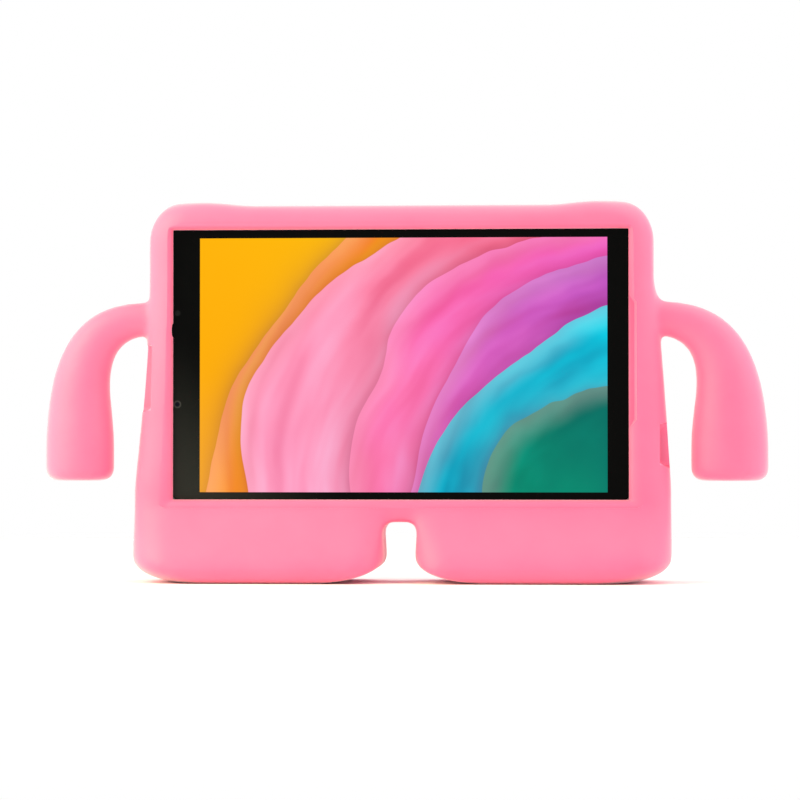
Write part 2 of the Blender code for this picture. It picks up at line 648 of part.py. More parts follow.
def make_rear_cover(material, parent):
    half_x, half_z = TABLET_WIDTH / 2, TABLET_HEIGHT / 2
    block_mesh = rounded_plate(half_x, half_z, TABLET_CORNER, TABLET_FRONT_Y, TABLET_BACK_Y)
    shell = add_object("rear_cover", block_mesh)
    room = rounded_plate(
        half_x - SHELL_WALL, half_z - SHELL_WALL, TABLET_CORNER - SHELL_WALL,
        TABLET_FRONT_Y - SHELL_WALL, SHELL_INNER_Y,
    )
    apply_boolean(shell, room)
    radius = CAMERA_WINDOW_RADIUS + GAP
    window = cylinder_mesh(radius, SHELL_INNER_Y - GAP, TABLET_BACK_Y + GAP, CAMERA_X, CAMERA_Z)
    apply_boolean(shell, window)
    apply_boolean(shell, edge_slot(POWER_KEY_X, POWER_KEY_WIDTH, KEY_DEPTH))
    apply_boolean(shell, edge_slot(VOLUME_KEY_X, VOLUME_KEY_WIDTH, KEY_DEPTH))
    apply_boolean(shell, edge_slot(TRAY_X, TRAY_WIDTH, TRAY_DEPTH))
    apply_boolean(shell, end_hole(-1, LEFT_SLOT_Z, 2 * JACK_BORE, JACK_Y - JACK_BORE, JACK_Y + JACK_BORE))
    low_y, high_y = ROOM_MIDDLE_Y - USB_MOUTH / 2, ROOM_MIDDLE_Y + USB_MOUTH / 2
    apply_boolean(shell, end_hole(1, RIGHT_SLOT_Z, USB_WIDTH, low_y, high_y))
    low_y, high_y = ROOM_MIDDLE_Y - SPEAKER_HOLE / 2, ROOM_MIDDLE_Y + SPEAKER_HOLE / 2
    for place in SPEAKER_PLACES.values():
        for i in range(SPEAKER_HOLES):
            z = TABLET_Z + place * TABLET_HEIGHT + (i - (SPEAKER_HOLES - 1) / 2) * 2 * SPEAKER_HOLE
            apply_boolean(shell, end_hole(1, z, SPEAKER_HOLE, low_y, high_y))
    finish(shell, material, parent)


def board_holes():
    xs = (BOARD_LOW_X + SCREW_INSET, BOARD_HIGH_X - SCREW_INSET)
    zs = (BOARD_LOW_Z + SCREW_INSET, BOARD_HIGH_Z - SCREW_INSET)
    return [(x, z) for x in xs for z in zs]


def make_main_board(material, parent):
    low = (BOARD_LOW_X, BOARD_FRONT_Y, BOARD_LOW_Z)
    high = (BOARD_HIGH_X, BOARD_FRONT_Y + BOARD_THICKNESS, BOARD_HIGH_Z)
    board = block("main_board", low, high, material, parent)
    corner = TABLET_CORNER - SHELL_WALL - GAP
    room = rounded_plate(INNER_HALF_X, INNER_HALF_Z, corner, PLATE_FRONT_Y, ROOM_BACK_Y)
    apply_boolean(board, room, "INTERSECT")
    apply_boolean(board, socket_room())
    apply_boolean(board, flex_slot())
    for x, z in board_holes():
        hole = cylinder_mesh(SCREW_RADIUS + GAP, PLATE_FRONT_Y, ROOM_BACK_Y, x, z, SCREW_SIDES)
        apply_boolean(board, hole)
    finish(board, material, parent)


def make_screws(material, parent):
    head_front = BOARD_FRONT_Y + BOARD_THICKNESS + GAP
    for number, (x, z) in enumerate(board_holes(), 1):
        shank = cylinder_mesh(SCREW_RADIUS, BOARD_FRONT_Y, head_front + GAP, x, z, SCREW_SIDES)
        screw = add_object(f"board_screw_{number}", shank)
        head = cylinder_mesh(SCREW_HEAD_RADIUS, head_front, head_front + 2 * GAP, x, z, SCREW_SIDES)
        apply_boolean(screw, head, "UNION")
        finish(screw, material, parent)


def make_shield_can(material, parent):
    front = BOARD_FRONT_Y + BOARD_THICKNESS + GAP
    low = (BOARD_HIGH_X - SHIELD_WIDTH - BOARD_THICKNESS, front, SHIELD_Z - SHIELD_HEIGHT / 2)
    high = (BOARD_HIGH_X - BOARD_THICKNESS, ROOM_BACK_Y - GAP, SHIELD_Z + SHIELD_HEIGHT / 2)
    block("shield_can", low, high, material, parent)


def make_display_flex(material, parent):
    over_board = BOARD_FRONT_Y + BOARD_THICKNESS + GAP
    low_z, high_z = FLEX_Z - FLEX_WIDTH / 2, FLEX_Z + FLEX_WIDTH / 2
    back = over_board + FLEX_THICKNESS
    low = (FLEX_X, PANEL_FRONT_Y + GAP, low_z)
    flex = add_object("display_flex", span_box(low, (FLEX_X + FLEX_THICKNESS, back, high_z)))
    tail = span_box((FLEX_X, over_board, low_z), (FLEX_X + FLEX_TAIL, back, high_z))
    apply_boolean(flex, tail, "UNION")
    finish(flex, material, parent)


def make_battery(material, lead_material, parent):
    low = (BATTERY_LOW_X, BOARD_FRONT_Y, BOARD_LOW_Z)
    block("battery", low, (BATTERY_HIGH_X, ROOM_BACK_Y, BATTERY_HIGH_Z), material, parent)
    front = BOARD_FRONT_Y + BOARD_THICKNESS + GAP
    low = (BOARD_HIGH_X - LEAD_OVERLAP, front, SHIELD_Z + SHIELD_HEIGHT / 2 + GAP)
    high = (BATTERY_LOW_X - GAP, front + FLEX_THICKNESS, low[2] + LEAD_WIDTH)
    block("battery_lead", low, high, lead_material, parent)


def make_sub_board(material, lead_material, parent):
    back = BOARD_FRONT_Y + BOARD_THICKNESS
    low = (BATTERY_HIGH_X + GAP, BOARD_FRONT_Y, BOARD_LOW_Z)
    block("sub_board", low, (USB_LOW_X - GAP, back, SUB_BOARD_HIGH_Z), material, parent)
    low = (BOARD_LOW_X + TABLET_CORNER, BOARD_FRONT_Y, BOARD_LOW_Z - GAP - LINK_WIDTH)
    high = (USB_LOW_X - LEAD_OVERLAP, BOARD_FRONT_Y + FLEX_THICKNESS, BOARD_LOW_Z - GAP)
    block("board_link", low, high, lead_material, parent)


def make_microphone(material, parent):
    front = BOARD_FRONT_Y + BOARD_THICKNESS + GAP
    low = (USB_LOW_X - GAP - 2 * MIC_SIZE, front, RIGHT_SLOT_Z - MIC_SIZE / 2)
    high = (low[0] + MIC_SIZE, front + MIC_THICKNESS, RIGHT_SLOT_Z + MIC_SIZE / 2)
    block("microphone", low, high, material, parent)


def make_usb_socket(material, parent):
    low = (USB_LOW_X, BOARD_FRONT_Y, RIGHT_SLOT_Z - USB_WIDTH / 2)
    high = (INNER_HALF_X, ROOM_BACK_Y, RIGHT_SLOT_Z + USB_WIDTH / 2)
    socket = block("usb_socket", low, high, material, parent)
    wall = (ROOM_BACK_Y - BOARD_FRONT_Y - USB_MOUTH) / 2
    low = (USB_LOW_X + 2 * wall, BOARD_FRONT_Y + wall, low[2] + wall)
    high = (TABLET_WIDTH / 2, ROOM_BACK_Y - wall, high[2] - wall)
    apply_boolean(socket, span_box(low, high))
    finish(socket, material, parent)


def make_headphone_socket(material, parent):
    low = (-INNER_HALF_X, JACK_Y - JACK_DEPTH / 2, LEFT_SLOT_Z - JACK_WIDTH / 2)
    high = (-INNER_HALF_X + JACK_LENGTH, JACK_Y + JACK_DEPTH / 2, LEFT_SLOT_Z + JACK_WIDTH / 2)
    socket = block("headphone_socket", low, high, material, parent)
    bore = bmesh.new()
    turn = Matrix.Rotation(math.radians(90), 4, "Y")
    place = Matrix.Translation((-INNER_HALF_X, JACK_Y, LEFT_SLOT_Z))
    bore_length = JACK_LENGTH - 2 * SHELL_WALL
    bmesh.ops.create_cone(
        bore, cap_ends=True, segments=HOLE_SIDES // 2, radius1=JACK_BORE, radius2=JACK_BORE,
        depth=2 * bore_length, matrix=place @ turn,
    )
    apply_boolean(socket, bore)
    finish(socket, material, parent)


def make_speakers(material, parent):
    for name, place in SPEAKER_PLACES.items():
        z = TABLET_Z + place * TABLET_HEIGHT
        low =(USB_LOW_X, BOARD_FRONT_Y, z - SPEAKER_LENGTH / 2)
        block(name, low, (INNER_HALF_X, ROOM_BACK_Y, z + SPEAKER_LENGTH / 2), material, parent)


def make_front_parts(material, parent):
    front = GLASS_BACK_Y + GAP
    for name, place, size in (
        ("front_camera", FRONT_CAMERA_PLACE, FRONT_CAMERA_SIZE),
        ("light_sensor", LIGHT_SENSOR_PLACE, LIGHT_SENSOR_SIZE),
    ):
        z = TABLET_Z + place * TABLET_HEIGHT
        low = (FRONT_PARTS_X - size / 2, front, z - size / 2)
        block(name, low, (FRONT_PARTS_X + size / 2, PLATE_FRONT_Y - GAP, z + size / 2), material, parent)


def make_rear_camera(material, glass_material, parent):
    half = REAR_CAMERA_SIZE / 2
    low = (CAMERA_X - half, BOARD_FRONT_Y, CAMERA_Z - half)
    block("rear_camera", low, (CAMERA_X + half, ROOM_BACK_Y, CAMERA_Z + half), material, parent)
    window = cylinder_mesh(CAMERA_WINDOW_RADIUS, SHELL_INNER_Y, TABLET_BACK_Y, CAMERA_X, CAMERA_Z)
    finish(add_object("rear_camera_window", window), glass_material, parent, smooth=True)


def make_key(name, x, width, material, parent):
    """A key that stands out of the shell's top wall, with a flange that keeps it in."""
    flange_top = TABLET_TOP_Z - SHELL_WALL - GAP
    flange_low = flange_top - KEY_FLANGE
    half = width / 2
    cap = box_mesh(width, KEY_DEPTH, TABLET_TOP_Z + KEY_STANDS_OUT - flange_low)
    middle = (TABLET_TOP_Z + KEY_STANDS_OUT + flange_low) / 2
    key = add_object(name, cap, (x, KEY_Y, middle))
    low = (x - half - KEY_FLANGE, KEY_Y - KEY_DEPTH / 2, flange_low)
    high = (x + half + KEY_FLANGE, KEY_Y + KEY_DEPTH / 2, flange_top)
    apply_boolean(key, span_box(low, high), "UNION")
    return finish(key, material, parent)


def make_switch(name, x, material, parent):
    """A switch under a key, clear of it by the key's travel and a gap."""
    high_z = TABLET_TOP_Z - SHELL_WALL - GAP - KEY_FLANGE - KEY_TRAVEL - GAP
    low = (x - SWITCH_WIDTH / 2, KEY_Y - KEY_DEPTH / 2, high_z - SWITCH_HEIGHT)
    high = (x + SWITCH_WIDTH / 2, KEY_Y + KEY_DEPTH / 2, high_z)
    block(name, low, high, material, parent)


def make_card_tray(material, parent):
    """The tray's end lies in the shell's wall, and its body runs inwards."""
    half = TRAY_WIDTH / 2
    low = (TRAY_X - half, KEY_Y - TRAY_DEPTH / 2, TABLET_TOP_Z - SHELL_WALL)
    tray = add_object("card_tray", span_box(low, (TRAY_X + half, KEY_Y + TRAY_DEPTH / 2, TABLET_TOP_Z)))
    inner = half - GAP
    low = (TRAY_X - inner, KEY_Y - TRAY_BODY_DEPTH / 2, TABLET_TOP_Z - TRAY_LENGTH)
    high = (TRAY_X + inner, KEY_Y + TRAY_BODY_DEPTH / 2, TABLET_TOP_Z - SHELL_WALL / 2)
    apply_boolean(tray, span_box(low, high), "UNION")
    finish(tray, material, parent)


def make_tablet():
    tablet = bpy.data.objects.new("tablet", None)
    bpy.context.scene.collection.objects.link(tablet)
    glass = make_material("black_glass", (0.010, 0.010, 0.012), 0.06)
    lens = make_material("lens_glass", (0.02, 0.02, 0.03), 0.05)
    panel = make_material("lit_panel", (0.75, 0.55, 0.60), 0.20)
    magnesium = make_material("cast_frame", (0.45, 0.46, 0.48), 0.40, 0.9)
    shell = make_material("grey_shell", (0.35, 0.36, 0.38), 0.35, 0.8)
    board = make_material("board_green", (0.03, 0.16, 0.07), 0.50)
    tin = make_material("tinned_steel", (0.62, 0.62, 0.64), 0.30, 1.0)
    foil = make_material("battery_foil", (0.10, 0.10, 0.11), 0.40)
    lead = make_material("lead_film", (0.45, 0.25, 0.06), 0.45)
    plastic = make_material("black_plastic", (0.02, 0.02, 0.02), 0.45)
    make_cover_glass(glass, tablet)
    make_display_panel(panel, tablet)
    make_mid_frame(magnesium, tablet)
    make_rear_cover(shell, tablet)
    make_main_board(board, tablet)
    make_screws(tin, tablet)
    make_shield_can(tin, tablet)
    make_display_flex(lead, tablet)
    make_battery(foil, lead, tablet)
    make_sub_board(board, lead, tablet)
    make_microphone(tin, tablet)
    make_usb_socket(tin, tablet)
    make_headphone_socket(plastic, tablet)
    make_speakers(plastic, tablet)
    make_front_parts(plastic, tablet)
    make_rear_camera(plastic, lens, tablet)
    make_key("power_key", POWER_KEY_X, POWER_KEY_WIDTH, shell, tablet)
    make_key("volume_key", VOLUME_KEY_X, VOLUME_KEY_WIDTH, shell, tablet)
    make_switch("power_switch", POWER_KEY_X, tin, tablet)
    reach = VOLUME_KEY_WIDTH / 2 - SWITCH_WIDTH
    make_switch("volume_up_switch", VOLUME_KEY_X - reach, tin, tablet)
    make_switch("volume_down_switch", VOLUME_KEY_X + reach, tin, tablet)
    make_card_tray(shell, tablet)


clear_scene()
make_foam_case(make_material("pink_foam", (1.0, 0.28, 0.45), 0.75))
make_tablet()
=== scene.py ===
import math

import bmesh
import bpy
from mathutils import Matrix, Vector


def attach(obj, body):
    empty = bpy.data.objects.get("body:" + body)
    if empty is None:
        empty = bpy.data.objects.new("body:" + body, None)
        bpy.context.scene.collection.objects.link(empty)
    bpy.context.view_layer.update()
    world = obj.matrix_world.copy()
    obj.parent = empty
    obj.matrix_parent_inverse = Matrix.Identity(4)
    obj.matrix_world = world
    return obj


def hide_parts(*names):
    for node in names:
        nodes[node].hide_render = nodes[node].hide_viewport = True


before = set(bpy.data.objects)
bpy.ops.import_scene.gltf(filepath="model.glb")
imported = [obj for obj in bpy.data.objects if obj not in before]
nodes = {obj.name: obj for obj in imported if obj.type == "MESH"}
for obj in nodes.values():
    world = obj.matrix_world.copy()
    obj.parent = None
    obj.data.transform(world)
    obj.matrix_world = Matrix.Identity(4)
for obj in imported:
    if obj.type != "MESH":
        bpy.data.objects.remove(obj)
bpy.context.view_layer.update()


# A socket that can be used in a sum. Each operator adds a Math node to the tree.
class Flow:
    def __init__(self, tree, socket):
        self.tree = tree
        self.socket = socket

    def maths(self, operation, *values):
        return Sketch(self.tree).maths(operation, *values)

    def __add__(self, other):
        return self.maths("ADD", self, other)

    def __radd__(self, other):
        return self.maths("ADD", other, self)

    def __sub__(self, other):
        return self.maths("SUBTRACT", self, other)

    def __rsub__(self, other):
        return self.maths("SUBTRACT", other, self)

    def __mul__(self, other):
        return self.maths("MULTIPLY", self, other)

    def __rmul__(self, other):
        return self.maths("MULTIPLY", other, self)

    def __truediv__(self, other):
        return self.maths("DIVIDE", self, other)

    def __rtruediv__(self, other):
        return self.maths("DIVIDE", other, self)

    def __pow__(self, other):
        return self.maths("POWER", self, other)

    def __neg__(self):
        return self.maths("MULTIPLY", self, -1.0)

    def __lt__(self, other):
        return self.maths("LESS_THAN", self, other)

    def __gt__(self, other):
        return self.maths("GREATER_THAN", self, other)


# Draws nodes in a shader or geometry tree.
class Sketch:
    def __init__(self, tree):
        self.tree = tree

    # Settings come first, then the sockets' values or links.
    def node(self, kind, settings=None, sockets=None):
        made = self.tree.nodes.new(kind)
        for key, value in (settings or {}).items():
            setattr(made, key, value)
        for key, value in (sockets or {}).items():
            if isinstance(value, Flow):
                self.tree.links.new(value.socket, made.inputs[key])
            else:
                made.inputs[key].default_value = value
        return made

    def out(self, kind, settings=None, sockets=None, name=0):
        return Flow(self.tree, self.node(kind, settings, sockets).outputs[name])

    def maths(self, operation, *values):
        return self.out("ShaderNodeMath", {"operation": operation}, dict(enumerate(values)))

    def clamp(self, value):
        return self.out("ShaderNodeClamp", None, {"Value": value})

    def ease(self, value):
        held = self.clamp(value)
        return held * held * (3.0 - 2.0 * held)

    def mixColour(self, factor, first, second, blend="MIX"):
        made = self.node("ShaderNodeMix", {"data_type": "RGBA", "blend_type": blend})
        for place, value in ((0, factor), (6, first), (7, second)):
            if isinstance(value, Flow):
                self.tree.links.new(value.socket, made.inputs[place])
            elif place:
                made.inputs[place].default_value = (*value, 1.0)
            else:
                made.inputs[place].default_value = value
        return Flow(self.tree, made.outputs[2])

    def magnitude(self, value):
        return self.maths("ABSOLUTE", value)

    # Distance from a point that lies across and upward from here
    def distance(self, across, upward):
        return self.maths("SQRT", across * across + upward * upward)

    # Noise at a place in the material's own coordinates
    def noise(self, place, scale, detail=3.0, roughness=0.5):
        sockets = {"Vector": place, "Scale": scale, "Detail": detail, "Roughness": roughness}
        return self.out("ShaderNodeTexNoise", None, sockets)


# Starts a material: gives its sketch, its shader, its place on the object, and x, y and z.
def startMaterial(name, **fixed):
    material = bpy.data.materials.new(name)
    material.use_nodes = True
    shader = material.node_tree.nodes["Principled BSDF"]
    for key, value in fixed.items():
        shader.inputs[key.replace("_", " ")].default_value = value
    sketch = Sketch(material.node_tree)
    place = sketch.out("ShaderNodeTexCoord", name="Object")
    parts = sketch.node("ShaderNodeSeparateXYZ", None, {0: place})
    x, y, z = (Flow(material.node_tree, parts.outputs[i]) for i in range(3))
    return material, sketch, shader, place, (x, y, z)


def feed(sketch, shader, **links):
    for key, flow in links.items():
        sketch.tree.links.new(flow.socket, shader.inputs[key.replace("_", " ")])


def addBump(sketch, shader, height, strength, distance):
    sockets = {"Strength": strength, "Distance": distance, "Height": height}
    feed(sketch, shader, Normal=sketch.out("ShaderNodeBump", None, sockets))


def dress(thing, material):
    thing.data.materials.clear()
    thing.data.materials.append(material)


# Pink closed cell foam: a fine skin, faint cloudy colour, a pale bloom where light grazes it, and a paler
# pink painted in the side slots as painted light that lifts the shade there
def makeFoamMaterial():
    look = {
        "pink": (1.0, 0.126, 0.304), "deep": (0.99, 0.112, 0.286), "pit": (0.80, 0.12, 0.24),
        # cut: a paler pink painted in the side slots, painted light that lifts the shade there
        "cut": (1.0, 0.21, 0.44), "bloom": (0.90, 1.0, 1.0, 1.0), "bloomWeight": 0.7, "bloomRough": 0.45,
        "shine": 0.8, "rough": 0.52, "roughSpread": 0.14, "grain": 2600.0, "cloud": 38.0, "cloudLow": 0.35,
        "cloudSpread": 0.3, "pores": 900.0, "poreLow": 0.05, "poreSpread": 0.30, "speck": 0.035,
        "bump": 0.25, "bumpDistance": 0.00012, "grainShare": 0.6, "edge": 0.0002, "slotLightBack": 0.0005,
    }
    material, sketch, shader, place, (x, y, z) = startMaterial(
        "pinkFoam", Sheen_Weight=look["bloomWeight"], Sheen_Roughness=look["bloomRough"],
        Sheen_Tint=look["bloom"], Specular_IOR_Level=look["shine"],
    )
    cloud = sketch.noise(place, look["cloud"], 4.0)
    grain = sketch.noise(place, look["grain"], 2.0)
    pores = sketch.out("ShaderNodeTexVoronoi", None, {"Vector": place, "Scale": look["pores"]})
    pits = sketch.ease((pores - look["poreLow"]) / look["poreSpread"])
    shade = sketch.clamp((cloud - look["cloudLow"]) / look["cloudSpread"])
    colour = sketch.mixColour(shade, look["deep"], look["pink"])
    speck = sketch.clamp(look["speck"] * (grain - 0.5) + look["speck"] * (1.0 - pits))
    colour = sketch.mixColour(speck, colour, look["pit"])
    # Painted light: the faces in each side slot get the paler cut pink, which lifts the shade in them
    for slot in slots.values():
        outward = slot["side"] * x
        paintedSlotLight = sketch.magnitude(z - slot["z"]) < slot["length"] / 2 + look["edge"]
        paintedSlotLight = paintedSlotLight * (outward > slot["bed"]) * (outward < slotDepth["outer"])
        paintedSlotLight = paintedSlotLight * (y > slotDepth["bedFront"] + look["edge"]) * (y < look["slotLightBack"])
        colour = sketch.mixColour(paintedSlotLight, colour, look["cut"])
    feed(sketch, shader, Base_Color=colour, Roughness=look["rough"] + look["roughSpread"] * grain)
    height = look["grainShare"] * grain + (1.0 - look["grainShare"]) * pits
    addBump(sketch, shader, height, look["bump"], look["bumpDistance"])
    return material


# The screen's picture: sheets of poured colour, each lying on the next, spreading from a lower corner.
# A sheet has its reach in metres, the colours at its two ends, how far its edge swings, and where the swing
# starts.
sheets = [
    {"reach": 0.180, "near": (1.00, 0.20, 0.010), "far": (1.00, 0.30, 0.000), "swing": 0.050, "start": 0.4},
    {"reach": 0.160, "near": (1.00, 0.10, 0.200), "far": (1.00, 0.32, 0.520), "swing": 0.060, "start": 2.1},
    {"reach": 0.126, "near": (0.96, 0.09, 0.500), "far": (1.00, 0.20, 0.440), "swing": 0.055, "start": 3.9},
    {"reach": 0.104, "near": (0.50, 0.08, 0.520), "far": (0.86, 0.14, 0.540), "swing": 0.070, "start": 5.2},
    {"reach": 0.090, "near": (0.00, 0.62, 0.800), "far": (0.00, 0.36, 0.520), "swing": 0.060, "start": 1.0},
    {"reach": 0.062, "near": (0.00, 0.13, 0.120), "far": (0.00, 0.26, 0.160), "swing": 0.080, "start": 2.8},
]
pour = {
    "x": 0.1000, "z": 0.0250, "stir": 0.030, "broadScale": 16.0, "fineScale": 42.0, "broadShare": 0.7,
    "fineShare": 0.25, "fanStart": 1.3, "fanSpread": 1.9, "waves": 3.1, "edgeSoft": 0.00035,
    "under": ((1.0, 0.62, 0.00), (1.0, 0.40, 0.00)), "mottle": 0.4,
    "shade": (0.16, 0.0, 0.05), "shadeDepth": 0.30, "shadeLength": 0.0050,
    "rim": (1.0, 0.9, 0.9), "rimDepth": 0.12, "rimLength": 0.012,
    "streakTurn": 1.1, "streakReach": 46.0, "streakScale": 2.0, "calmReach": 0.060, "calm": 0.4,
    "bright": (1.0, 1.0, 1.0), "brightDepth": 2.4, "dark": (0.80, 0.30, 0.45), "darkDepth": 2.2,
}


def paintSheets(sketch, place, x, z):
    broad = sketch.noise(place, pour["broadScale"], 1.0) - 0.5
    fine = sketch.noise(place, pour["fineScale"], 2.0) - 0.5
    across = x - pour["x"] + pour["stir"] * broad
    upward = z - pour["z"] + pour["stir"] * (pour["broadShare"] * broad + pour["fineShare"] * fine)
    reach = sketch.distance(across, upward)
    turn = sketch.maths("ARCTAN2", upward, across)
    along = sketch.ease((turn - pour["fanStart"]) / pour["fanSpread"])
    stretched = {"X": pour["streakTurn"] * turn, "Y": pour["streakReach"] * reach}
    lengthways = sketch.out("ShaderNodeCombineXYZ", None, stretched)
    streak = sketch.noise(lengthways, pour["streakScale"], 1.6) - 0.5
    streak = streak * sketch.ease(reach / pour["calmReach"] - pour["calm"])
    bright = sketch.clamp(pour["brightDepth"] * streak)
    dark = sketch.clamp(-pour["darkDepth"] * streak)
    picture = sketch.mixColour(along, *pour["under"])
    for sheet in sheets:
        wave = sketch.maths("SINE", turn * pour["waves"] + sheet["start"])
        beyond = reach * (1.0 + sheet["swing"] * wave) - sheet["reach"]
        shadow = sketch.maths("EXPONENT", -1.0 * sketch.magnitude(beyond) / pour["shadeLength"])
        picture = sketch.mixColour(pour["shadeDepth"] * shadow, picture, pour["shade"])
        face = sketch.mixColour(sketch.clamp(along + pour["mottle"] * fine), sheet["near"], sheet["far"])
        face = sketch.mixColour(bright, face, pour["bright"], "SOFT_LIGHT")
        face = sketch.mixColour(dark, face, pour["dark"], "MULTIPLY")
        rim = sketch.ease(1.0 + beyond / pour["rimLength"])
        face = sketch.mixColour(pour["rimDepth"] * rim, face, pour["rim"])
        picture = sketch.mixColour(sketch.ease(0.5 - beyond / pour["edgeSoft"]), picture, face)
    return picture


# Cover glass: a lit area behind it, a black border with a faint grey painted reflection, and two dots in the
# border
screen = {"halfWidth": 0.0857, "halfHeight": 0.0535, "middle": 0.0914, "aside": 0.0012, "front": -0.00769}
border = {
    "black": (0.0012, 0.0012, 0.0012), "worn": (0.003, 0.003, 0.003), "reflectionX": -0.0950, "reflectionZ": 0.0350,
    "reflectionLength": 0.0750, "paintedReflection": (0.020, 0.021, 0.020), "dotX": -0.0940, "dotSoft": 0.0002,
    "shine": 0.03, "rough": 0.07, "roughSpread": 0.05, "grain": 220.0, "wear": 0.4,
}
dots = [
    {"z": 0.0749, "radius": 0.0015, "colour": (0.042, 0.043, 0.044)},
    {"z": 0.0749, "radius": 0.0009, "colour": (0.003, 0.004, 0.010)},
    {"z": 0.1134, "radius": 0.0011, "colour": (0.010, 0.010, 0.011)},
]


def makeScreenMaterial():
    material, sketch, shader, place, (x, y, z) = startMaterial(
        "coverGlass", Specular_IOR_Level=border["shine"], Emission_Strength=1.0,
    )
    picture = paintSheets(sketch, place, x, z)
    lit = sketch.magnitude(x - screen["aside"]) < screen["halfWidth"]
    lit = lit * (sketch.magnitude(z - screen["middle"]) < screen["halfHeight"]) * (y < screen["front"])
    fine = sketch.noise(place, border["grain"], 3.0)
    colour = sketch.mixColour(border["wear"] * fine, border["black"], border["worn"])
    # Painted reflection: the black border turns grey towards its lower left corner
    fromCorner = x - border["reflectionX"] + z - border["reflectionZ"]
    colour = sketch.mixColour(sketch.ease(1.0 - fromCorner / border["reflectionLength"]), colour, border["paintedReflection"])
    for dot in dots:
        away = sketch.distance(x - border["dotX"], z - dot["z"]) - dot["radius"]
        colour = sketch.mixColour(sketch.ease(1.0 - away / border["dotSoft"]), colour, dot["colour"])
    shown = sketch.mixColour(lit, (0.0, 0.0, 0.0), picture)
    rough = border["rough"] + border["roughSpread"] * fine
    feed(sketch, shader, Base_Color=colour, Emission_Color=shown, Roughness=rough)
    return material


# Metals, plastics and films of the tablet's own pieces: one dictionary for each finish.
finishes = {
    "greyShell": {
        "nodes": ["rear_cover", "power_key", "volume_key", "card_tray"],
        "colours": ((0.30, 0.31, 0.33), (0.36, 0.37, 0.39)), "metal": 0.85, "rough": (0.34, 0.46),
        "grain": 3200.0, "bump": 0.10,
    },
    "castFrame": {
        "nodes": ["mid_frame"], "colours": ((0.40, 0.41, 0.43), (0.50, 0.51, 0.53)),
        "metal": 0.9, "rough": (0.38, 0.55), "grain": 1800.0, "bump": 0.25,
    },
    "tinnedSteel": {
        "nodes": [
            "board_screw_1", "board_screw_2", "board_screw_3", "board_screw_4", "shield_can", "usb_socket",
            "microphone", "power_switch", "volume_up_switch", "volume_down_switch",
        ],
        "colours": ((0.55, 0.55, 0.57), (0.68, 0.68, 0.69)), "metal": 1.0, "rough": (0.22, 0.36),
        "grain": 1500.0, "bump": 0.08,
    },
    "boardGreen": {
        "nodes": ["main_board", "sub_board"], "colours": ((0.02, 0.13, 0.06), (0.03, 0.18, 0.08)),
        "metal": 0.0, "rough": (0.40, 0.55), "grain": 900.0, "bump": 0.20,
    },
    "leadFilm": {
        "nodes": ["display_flex", "battery_lead", "board_link"],
        "colours": ((0.38, 0.20, 0.04), (0.50, 0.29, 0.08)), "metal": 0.0, "rough": (0.35, 0.50),
        "grain": 700.0, "bump": 0.10,
    },
    "batteryFoil": {
        "nodes": ["battery"], "colours": ((0.08, 0.08, 0.09), (0.12, 0.12, 0.13)),
        "metal": 0.0, "rough": (0.34, 0.48), "grain": 500.0, "bump": 0.30,
    },
    "mouldedBlack": {
        "nodes": [
            "headphone_socket", "speaker_lower", "speaker_upper", "front_camera", "light_sensor",
            "rear_camera",
        ],
        "colours": ((0.014, 0.014, 0.015), (0.024, 0.024, 0.026)), "metal": 0.0, "rough": (0.40, 0.58),
        "grain": 2400.0, "bump": 0.25,
    },
    "litPanel": {
        "nodes": ["display_panel"], "colours": ((0.40, 0.40, 0.43), (0.46, 0.46, 0.49)),
        "metal": 0.0, "rough": (0.18, 0.26), "grain": 1200.0, "bump": 0.03,
    },
}


# Shared by all of these finishes
weave = {"broad": 60.0, "broadShare": 0.7, "grainShare": 0.3, "bumpDistance": 0.00008}


def makeFinish(name, look):
    material, sketch, shader, place, _ = startMaterial(name, Metallic=look["metal"])
    broad = sketch.noise(place, weave["broad"], 3.0)
    grain = sketch.noise(place, look["grain"], 2.0)
    share = sketch.clamp(weave["broadShare"] * broad + weave["grainShare"] * grain)
    colour = sketch.mixColour(share, *look["colours"])
    low, high = look["rough"]
    feed(sketch, shader, Base_Color=colour, Roughness=low + (high - low) * grain)
    addBump(sketch, shader, grain, look["bump"], weave["bumpDistance"])
    return material


# The rear camera's window: a dark glass with a lens ring and a pupil under it
lens = {
    "window": (0.010, 0.010, 0.012), "ring": (0.045, 0.046, 0.060), "ringRadius": 0.0026,
    "pupil": (0.003, 0.004, 0.012), "pupilRadius": 0.0014, "soft": 0.0003,
    "rough": 0.04, "roughSpread": 0.03, "grain": 900.0,
}


def makeLensMaterial():
    material, sketch, shader, place, (x, _, z) = startMaterial("lensGlass", Coat_Weight=1.0)
    away = sketch.distance(x - cameraHole["x"], z - cameraHole["z"])
    ring = sketch.ease((lens["ringRadius"] - away) / lens["soft"])
    pupil = sketch.ease((lens["pupilRadius"] - away) / lens["soft"])
    colour = sketch.mixColour(ring, lens["window"], lens["ring"])
    colour = sketch.mixColour(pupil, colour, lens["pupil"])
    rough = lens["rough"] + lens["roughSpread"] * sketch.noise(place, lens["grain"])
    feed(sketch, shader, Base_Color=colour, Roughness=rough)
    return material


def dressTablet():
    for name, look in finishes.items():
        material = makeFinish(name, look)
        for node in look["nodes"]:
            dress(nodes[node], material)
    dress(nodes["cover_glass"], makeScreenMaterial())
    dress(nodes["rear_camera_window"], makeLensMaterial())
    print("tablet dressed")


